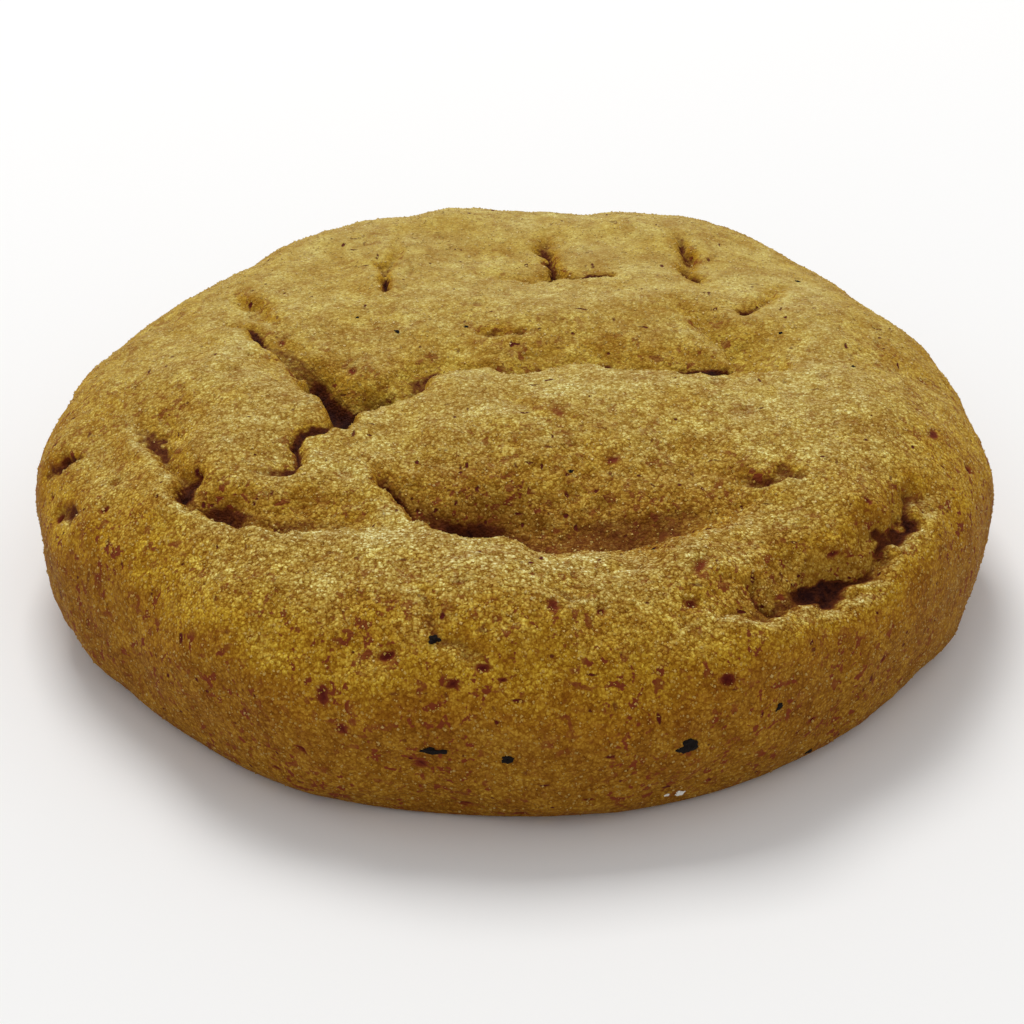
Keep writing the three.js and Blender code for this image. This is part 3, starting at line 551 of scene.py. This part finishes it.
class Finish:
    """A material, with its shader and short ways to add nodes to it, each of which gives an output."""

    def __init__(self, name):
        self.material = bpy.data.materials.new(name)
        self.material.use_nodes = True
        self.tree = self.material.node_tree
        self.shader = self.tree.nodes["Principled BSDF"]

    def add(self, kind, settings=None, **inputs):
        """Add a node. Its inputs are set, or joined to an output, by their names or as i and a number."""
        made = self.tree.nodes.new(kind)
        for key, value in (settings or {}).items():
            setattr(made, key, value)
        for key, value in inputs.items():
            socket = made.inputs[int(key[1:])] if key[0] == "i" and key[1:].isdigit() else made.inputs[key]
            if isinstance(value, bpy.types.NodeSocket):
                self.tree.links.new(value, socket)
            else:
                socket.default_value = value
        return made.outputs

    def mix(self, factor, a, b, how="MIX"):
        return self.add("ShaderNodeMix", {"data_type": "RGBA", "blend_type": how}, i0=factor, i6=a, i7=b)[2]

    def ramp(self, value, low, high, to_low=0.0, to_high=1.0):
        inputs = {"Value": value, "From Min": low, "From Max": high, "To Min": to_low, "To Max": to_high}
        return self.add("ShaderNodeMapRange", None, **inputs)[0]

    def maths(self, how, a, b):
        return self.add("ShaderNodeMath", {"operation": how}, i0=a, i1=b)[0]

    def field(self, name):
        return self.add("ShaderNodeAttribute", {"attribute_name": name})["Fac"]

    def noise(self, where, scale, detail, roughness):
        return self.add("ShaderNodeTexNoise", None, Vector=where, Scale=scale, Detail=detail,
                        Roughness=roughness)[0]

    def by_lean(self, lean):
        """The crust's colour by how far it leans away from the lit and sugared side: real browning and
        painted shade.
        """
        gradient = self.tree.nodes.new("ShaderNodeValToRGB")
        self.tree.links.new(lean, gradient.inputs[0])
        stops = gradient.color_ramp.elements
        for at, _ in CRUST_COLOURS[1:-1]:
            stops.new(at)
        for stop, (at, rgb) in zip(stops, CRUST_COLOURS):
            stop.position = at
            stop.color = rgb + (1.0,)
        return gradient.outputs[0]


# Colour of the crust by its lean away from the lit and sugared side, from golden to brown: partly real
# browning, partly painted shade.
CRUST_COLOURS = (
    (0.00, (0.540, 0.428, 0.148)), (0.20, (0.490, 0.348, 0.084)), (0.40, (0.460, 0.285, 0.042)),
    (0.60, (0.452, 0.252, 0.018)), (0.80, (0.360, 0.166, 0.012)), (1.00, (0.300, 0.138, 0.012)))
CRUST_ROUGHNESS = 0.72
CRUST_GLOSS = 0.06

# Painted shade in the hollows of the rear and of the front, and in the deepest of them.
MUSTARD_SHADE = (0.47, 0.315, 0.045, 1)
SHADED_BROWN = (0.385, 0.210, 0.026, 1)
TROUGH_SHADE = (0.23, 0.092, 0.012, 1)

# The foot of a crease from its edge inwards, darker dough under painted shade, then pits, and crumb that
# the sugar leaves bare.
CREASE_RED_SHADE = (0.115, 0.026, 0.005, 1)
CREASE_DARK_SHADE = (0.022, 0.004, 0.003, 1)
PIT_RED = (0.095, 0.010, 0.007, 1)
CRUMB_RED = (0.19, 0.036, 0.010, 1)

# What patches and blotches multiply the crust's colour by.
LIGHT_PATCH = (1.06, 1.08, 1.08, 1)
DARK_PATCH = (0.94, 0.89, 0.82, 1)
LIGHT_BLOTCH = (1.16, 1.20, 1.15, 1)
DARK_BLOTCH = (0.82, 0.70, 0.56, 1)

# How many of each kind of spot lie side by side in a metre, from wide patches to the finest dust.
PATCHES = 150.0
CRUMB_PATCHES = 190.0
BROWNED_PATCHES = 260.0
BLOTCHES = 420.0
BARE_CRUMBS = 1100.0
RAGGED_SPOTS = 1500.0
SUGAR_GRAINS = 3600.0
SUGAR_DUST = 6500.0

# How lightness differs from grain to grain, green and blue more than red, with painted shade at each grain's
# edge, and how uneven grains are.
GRAIN_LIGHTNESS = (0.68, 1.38)
DUST_LIGHTNESS = (0.74, 1.24)
GRAIN_EDGE_SHADE = (1.10, 0.74)
GREEN_POWER = 1.5
BLUE_POWER = 2.8
GRAIN_BEND = 0.0005
GRAIN_HEIGHT = 0.00014
GRAIN_BUMP = 0.8

# From where to where, in metres towards the rear, the hollows turn from brown to mustard, the grain from
# coarse to fine (by COARSENESS), and torn hollows from whole ones.
MUSTARD_FROM = (-0.016, -0.004)
FINE_FROM = (-0.030, 0.024)
TORN_FROM = (-0.010, -0.018)
COARSENESS = (1.30, 0.34)

# Pores and short splits, by the stretch along x, y and z and the number to a metre, the share of places
# that have none, and from where to where in its cell a pore fades out.
PORES = (((1, 1, 1), 900.0), ((0.25, 1, 1), 1100.0), ((0.8, 0.4, 0.25), 1100.0), ((1, 0.25, 0.9), 1100.0))
PORELESS = (0.88, 0.96)
PORE_EDGE = (0.11, 0.20)

# Colour by lean and by depth, both partly painted shade. Every place is in metres on the cookie itself.
crust = Finish("sugared crust")
mix, ramp, maths = crust.mix, crust.ramp, crust.maths
where = crust.add("ShaderNodeTexCoord")["Object"]
toward_rear = crust.add("ShaderNodeSeparateXYZ", None, Vector=where)[1]
lean, hollow = crust.field("lean"), crust.field("hollow")
browned = ramp(crust.noise(where, BROWNED_PATCHES, 5.0, 0.6), 0.3, 0.7, -0.09, 0.09)
# The hollows are painted darker by their depth: painted shade, mustard at the rear, brown at the front and
# darkest in the deep troughs.
hollow_shade = mix(ramp(toward_rear, *MUSTARD_FROM), SHADED_BROWN, MUSTARD_SHADE)
colour = mix(ramp(hollow, 0.05, 0.4), crust.by_lean(maths("ADD", lean, browned)), hollow_shade)
colour = mix(ramp(hollow, 0.45, 1.1), colour, TROUGH_SHADE)

# Light and dark patches, and blotches one to four millimetres wide.
blotch = mix(ramp(crust.noise(where, BLOTCHES, 5.0, 0.65), 0.36, 0.64), DARK_BLOTCH, LIGHT_BLOTCH)
patch = mix(ramp(crust.noise(where, PATCHES, 3.0, 0.6), 0.38, 0.62), DARK_PATCH, LIGHT_PATCH)
colour = mix(1.0, mix(1.0, colour, blotch, "MULTIPLY"), patch, "MULTIPLY")

# The grains of fine sugar and crumb in the crust, a quarter of a millimetre wide, and the dust on them.
# They stand out most at the front of the top and least at the rear and low on the sides.
bend = crust.add("ShaderNodeTexNoise", None, Vector=where, Scale=RAGGED_SPOTS, Detail=2.0)["Color"]
bent = crust.add("ShaderNodeVectorMath", {"operation": "MULTIPLY_ADD"}, i0=bend, i1=(GRAIN_BEND,) * 3,
                 i2=where)[0]
grains = crust.add("ShaderNodeTexVoronoi", None, Vector=bent, Scale=SUGAR_GRAINS)
grain_draw = crust.add("ShaderNodeSeparateColor", None, Color=grains["Color"])[0]
dust = crust.noise(where, SUGAR_DUST, 2.0, 0.7)
tone = maths("MULTIPLY", ramp(grain_draw, 0.0, 1.0, *GRAIN_LIGHTNESS), ramp(dust, 0.3, 0.7, *DUST_LIGHTNESS))
# Each grain is darker towards its edge: painted shade between the grains.
tone = maths("MULTIPLY", tone, ramp(grains["Distance"], 0.25, 0.75, *GRAIN_EDGE_SHADE))
coarseness = maths("MULTIPLY", ramp(toward_rear, *FINE_FROM, *COARSENESS), ramp(lean, 0.40, 0.75, 1.0, 0.62))
tone = maths("ADD", maths("MULTIPLY", maths("SUBTRACT", tone, 1.0), coarseness), 1.0)
grain_colour = crust.add("ShaderNodeCombineColor", None, Red=tone, Green=maths("POWER", tone, GREEN_POWER),
                         Blue=maths("POWER", tone, BLUE_POWER))[0]
colour = mix(1.0, colour, grain_colour, "MULTIPLY")

# Ragged red-brown crumbs that lie bare between the sugar, in patches, most of them on the sides.
bare = maths("MULTIPLY", ramp(crust.noise(where, BARE_CRUMBS, 2.5, 0.6), 0.555, 0.605),
             ramp(crust.noise(where, CRUMB_PATCHES, 3.0, 0.6), 0.43, 0.55, 0.2, 1.0))
colour = mix(maths("MULTIPLY", bare, ramp(lean, 0.15, 0.60, 0.3, 1.0)), colour, CRUMB_RED)

# Dark red pores and short splits, thinner than the mesh, thickest in the front's hollows.
dark = 0.0
torn = maths("MULTIPLY", ramp(hollow, 0.03, 0.4, 0.0, 0.16), ramp(toward_rear, *TORN_FROM))
for stretch, to_the_metre in PORES:
    stretched = crust.add("ShaderNodeVectorMath", {"operation": "MULTIPLY"}, i0=bent, i1=stretch)[0]
    pores = crust.add("ShaderNodeTexVoronoi", None, Vector=stretched, Scale=to_the_metre)
    pore_draw = crust.add("ShaderNodeSeparateColor", None, Color=pores["Color"])[1]
    pore = maths("MULTIPLY", ramp(pores["Distance"], *PORE_EDGE, 1.0, 0.0),
                 ramp(maths("ADD", pore_draw, torn), *PORELESS))
    dark = maths("MAXIMUM", dark, pore)
pit = maths("MULTIPLY", crust.field("pit"), ramp(lean, 0.20, 0.50, 0.2, 1.0))
colour = mix(ramp(pit, 0.0, 0.45), colour, CRUMB_RED)
dark = maths("MAXIMUM", dark, ramp(pit, 0.35, 0.9))
colour = mix(dark, colour, PIT_RED)

# The foot of a crease, painted shade over darker dough: red-brown at its ragged edge and nearly black
# inside.
in_crease = crust.field("crease")
ragged = maths("ADD", in_crease, ramp(crust.noise(where, RAGGED_SPOTS, 4.0, 0.7), 0.25, 0.75, -0.3, 0.3))
in_foot = ramp(in_crease, 0.0, 0.15)
colour = mix(maths("MULTIPLY", ramp(ragged, 0.05, 0.6), in_foot), colour, CREASE_RED_SHADE)
colour = mix(maths("MULTIPLY", ramp(ragged, 0.55, 1.1), in_foot), colour, CREASE_DARK_SHADE)
crust.tree.links.new(colour, crust.shader.inputs["Base Color"])
crust.shader.inputs["Roughness"].default_value = CRUST_ROUGHNESS
crust.shader.inputs["Specular IOR Level"].default_value = CRUST_GLOSS
grain_height = maths("SUBTRACT", ramp(dust, 0.0, 1.0, 0.0, 0.35), grains["Distance"])
bump = crust.add("ShaderNodeBump", None, Strength=GRAIN_BUMP, Distance=GRAIN_HEIGHT,
                 Height=maths("SUBTRACT", grain_height, dark))[0]
crust.tree.links.new(bump, crust.shader.inputs["Normal"])

dough_mesh.materials.append(crust.material)
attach(dough, "root")
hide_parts("cookie")


# ---------------------------------------------------------------------------------------------
# The rolling sugar. Granulated sugar that the ball of dough was rolled in before baking, half sunk in
# it: blocky crystals a quarter of a millimetre long and broken ones between them, golden from the heat.
COARSE_CRYSTALS = 16000
COARSE_SIZES = (0.14, 0.27)
COARSE_SUNK = 0.12
FINE_CRYSTALS = 24000
FINE_SIZES = (0.12, 0.24)
FINE_SUNK = 0.08
CRYSTAL_FLATNESS = (0.55, 1.0)
SUGARED_SLOPES = (-0.9, 0.5)
LOWEST_SUGAR = 0.4      # how near the table the sugar comes
SUGAR_LOSS = 1.6        # how soon it thins out towards the dark foot of a crease
PALE_POWER = 3.5        # the higher, the fewer crystals are pale
SUGAR_GOLD = (0.60, 0.40, 0.10, 1)
SUGAR_PALE_GLINT = (0.72, 0.54, 0.22, 1)
SUGAR_ROUGHNESS = 0.45
SUGAR_GLOSS = 0.2

# A crystal whose top is a little smaller than its foot, and a broken one with eight sides.
BLOCK = np.array([(x, y, z) for x in (-0.5, 0.5) for y in (-0.5, 0.5) for z in (-0.5, 0.5)])
BLOCK[:, :2] *= np.where(BLOCK[:, 2:] > 0, 0.78, 1.0)
BLOCK_FACES = np.array([(0, 1, 3), (0, 3, 2), (4, 6, 7), (4, 7, 5), (0, 4, 5), (0, 5, 1),
                        (2, 3, 7), (2, 7, 6), (0, 2, 6), (0, 6, 4), (1, 5, 7), (1, 7, 3)])
CHIP = np.array([(0.5, 0, 0), (-0.5, 0, 0), (0, 0.5, 0), (0, -0.5, 0), (0, 0, 0.5), (0, 0, -0.5)])
CHIP_FACES = np.array([(0, 2, 4), (2, 1, 4), (1, 3, 4), (3, 0, 4),
                       (2, 0, 5), (1, 2, 5), (3, 1, 5), (0, 3, 5)])


def random_turns(count):
    """Rotation matrices in every direction alike."""
    q = chance.normal(size=(count, 4))
    w, x, y, z = (q / np.linalg.norm(q, axis=1)[:, None]).T
    rows = (1 - 2 * (y * y + z * z), 2 * (x * y - z * w), 2 * (x * z + y * w),
            2 * (x * y + z * w), 1 - 2 * (x * x + z * z), 2 * (y * z - x * w),
            2 * (x * z - y * w), 2 * (y * z + x * w), 1 - 2 * (x * x + y * y))
    return np.stack(rows, axis=1).reshape(-1, 3, 3)


def scatter(name, count, shape, shape_faces, sizes, sunk):
    """One mesh of many crystals on the dough, thickest where it faces up, none in the dark creases."""
    corner = dough_points[dough_faces]
    own = np.cross(corner[:, 1] - corner[:, 0], corner[:, 2] - corner[:, 0])
    area = np.linalg.norm(own, axis=1)
    share = area * smoothstep(own[:, 2] / area, *SUGARED_SLOPES)
    share *= corner[:, :, 2].min(axis=1) > LOWEST_SUGAR
    share *= 1 - np.minimum(crease_shade[dough_faces].max(axis=1) * SUGAR_LOSS, 1)
    picked = chance.choice(len(dough_faces), count, p=share / share.sum())
    u, v = chance.random(count), chance.random(count)
    u, v = np.where(u + v > 1, 1 - u, u)[:, None], np.where(u + v > 1, 1 - v, v)[:, None]
    spot = corner[picked, 0] * (1 - u - v) + corner[picked, 1] * u + corner[picked, 2] * v
    size = chance.uniform(*sizes, count)
    spot -= own[picked] / area[picked, None] * (size * sunk)[:, None]
    stretch = size[:, None] * chance.uniform(*CRYSTAL_FLATNESS, (count, 3))
    body = np.einsum("nij,nkj->nki", random_turns(count), shape[None] * stretch[:, None]) + spot[:, None]
    faces = (shape_faces[None] + np.arange(count)[:, None, None] * len(shape)).reshape(-1, 3)
    mesh = bpy.data.meshes.new(name)
    mesh.from_pydata((body.reshape(-1, 3) * MM).tolist(), [], faces.tolist())
    mesh.update()
    for label, values in (("lean", lean_from_lit_side[dough_faces[picked, 0]]),
                          ("pale", chance.random(count) ** PALE_POWER)):
        attribute = mesh.attributes.new(label, "FLOAT", "POINT")
        attribute.data.foreach_set("value", np.repeat(values, len(shape)).astype(np.float32))
    mesh.materials.append(sugar.material)
    crystals = bpy.data.objects.new(name, mesh)
    bpy.context.scene.collection.objects.link(crystals)
    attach(crystals, "root")


sugar = Finish("baked sugar")
lean = sugar.field("lean")
# Crystals take the crust's colour by lean, with its painted shade on the sides, and a few are pale: partly
# paler sugar, partly painted glints, fewer on the sides.
paleness_and_glint = sugar.maths("MULTIPLY", sugar.field("pale"), sugar.ramp(lean, 0.30, 0.70, 0.8, 0.3))
colour = sugar.mix(paleness_and_glint, sugar.mix(0.3, sugar.by_lean(lean), SUGAR_GOLD), SUGAR_PALE_GLINT)
sugar.tree.links.new(colour, sugar.shader.inputs["Base Color"])
sugar.shader.inputs["Roughness"].default_value = SUGAR_ROUGHNESS
sugar.shader.inputs["Specular IOR Level"].default_value = SUGAR_GLOSS
scatter("coarse_sugar", COARSE_CRYSTALS, BLOCK, BLOCK_FACES, COARSE_SIZES, COARSE_SUNK)
scatter("fine_sugar", FINE_CRYSTALS, CHIP, CHIP_FACES, FINE_SIZES, FINE_SUNK)


# ---------------------------------------------------------------------------------------------
# The dark flecks. Bits of burnt molasses and clove baked into the crust, ragged and nearly black, most
# of them low on the front of the edge, with one white lump of undissolved sugar beside them.
FLECK_BLACK = (0.009, 0.006, 0.005, 1)
FLECK_ROUGHNESS = 0.85
FLECK_GLOSS = 0.12
WHITE_LUMP = (0.78, 0.76, 0.70, 1)
LUMP_ROUGHNESS = 0.4

# The flecks that show from the front, each by its place on the dough, length and width, and more of them
# by chance at the rear, within these lengths and widths. The white lump is two grains, given in that way.
KNOWN_FLECKS = (
    ((-6.5, -44.7, 8.8), 2.2, 0.8), ((-0.9, -45.4, 8.2), 1.2, 0.9), ((14.2, -43.8, 8.6), 1.6, 1.4),
    ((22.0, -39.4, 9.4), 0.9, 0.7), ((24.7, -34.8, 1.8), 0.8, 0.6), ((-6.4, -41.0, 17.4), 0.9, 0.8),
    ((11.4, -28.5, 17.5), 0.9, 0.7), ((-4.7, 6.4, 20.6), 0.5, 0.4), ((23.6, -20.6, 19.5), 0.8, 0.6),
    ((5.0, -19.2, 20.5), 0.8, 0.35))
MORE_FLECKS = 9
FLECK_LENGTHS = (0.35, 0.8)
FLECK_WIDTHS = (0.3, 0.5)
SUGAR_LUMP = (((13.6, -41.8, 2.0), 1.0, 0.6), ((12.8, -42.0, 1.9), 0.5, 0.4))
BIT_THICKNESS = 0.6     # of the width
BIT_SUNK = 0.12         # of the width
BIT_WAVES = 12
BIT_RAGGED = ((0.22, 1.1), (0.12, 0.5))


def ragged_bits(name, bits, finish):
    """One mesh of small uneven lumps pressed into the dough, each turned to lie along the surface."""
    sphere, sphere_faces = geodesic_ball(4)
    points, faces = [], []
    for place_of_bit, length, width in bits:
        k = np.argmin(((dough_points - np.array(place_of_bit)) ** 2).sum(axis=1))
        outward_way = Vector(smooth_normals[k])
        turn = np.array(outward_way.to_track_quat("Z", "Y").to_matrix())
        uneven = 1 + sum(height * unevenness(sphere, wavelength, float(k % seeds), BIT_WAVES)
                         for (height, wavelength), seeds in zip(BIT_RAGGED, (97, 89)))
        body = sphere * uneven[:, None] * np.array((length, width, BIT_THICKNESS * width)) / 2
        faces.append(sphere_faces + sum(len(done) for done in points))
        points.append(body @ turn.T + dough_points[k] - np.array(outward_way) * BIT_SUNK * width)
    mesh = bpy.data.meshes.new(name)
    mesh.from_pydata((np.concatenate(points) * MM).tolist(), [], np.concatenate(faces).tolist())
    mesh.update()
    mesh.materials.append(finish.material)
    lumps = bpy.data.objects.new(name, mesh)
    bpy.context.scene.collection.objects.link(lumps)
    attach(lumps, "root")


burnt = Finish("burnt molasses")
burnt.shader.inputs["Base Color"].default_value = FLECK_BLACK
burnt.shader.inputs["Roughness"].default_value = FLECK_ROUGHNESS
burnt.shader.inputs["Specular IOR Level"].default_value = FLECK_GLOSS
at_the_rear = np.flatnonzero((dough_points[:, 1] > -10) & (at_z > 1.5))
flecks = list(KNOWN_FLECKS)
for k in chance.choice(at_the_rear, MORE_FLECKS):
    flecks.append((dough_points[k], chance.uniform(*FLECK_LENGTHS), chance.uniform(*FLECK_WIDTHS)))
ragged_bits("dark_flecks", flecks, burnt)

white = Finish("white sugar")
white.shader.inputs["Base Color"].default_value = WHITE_LUMP
white.shader.inputs["Roughness"].default_value = LUMP_ROUGHNESS
ragged_bits("white_sugar_lump", SUGAR_LUMP, white)
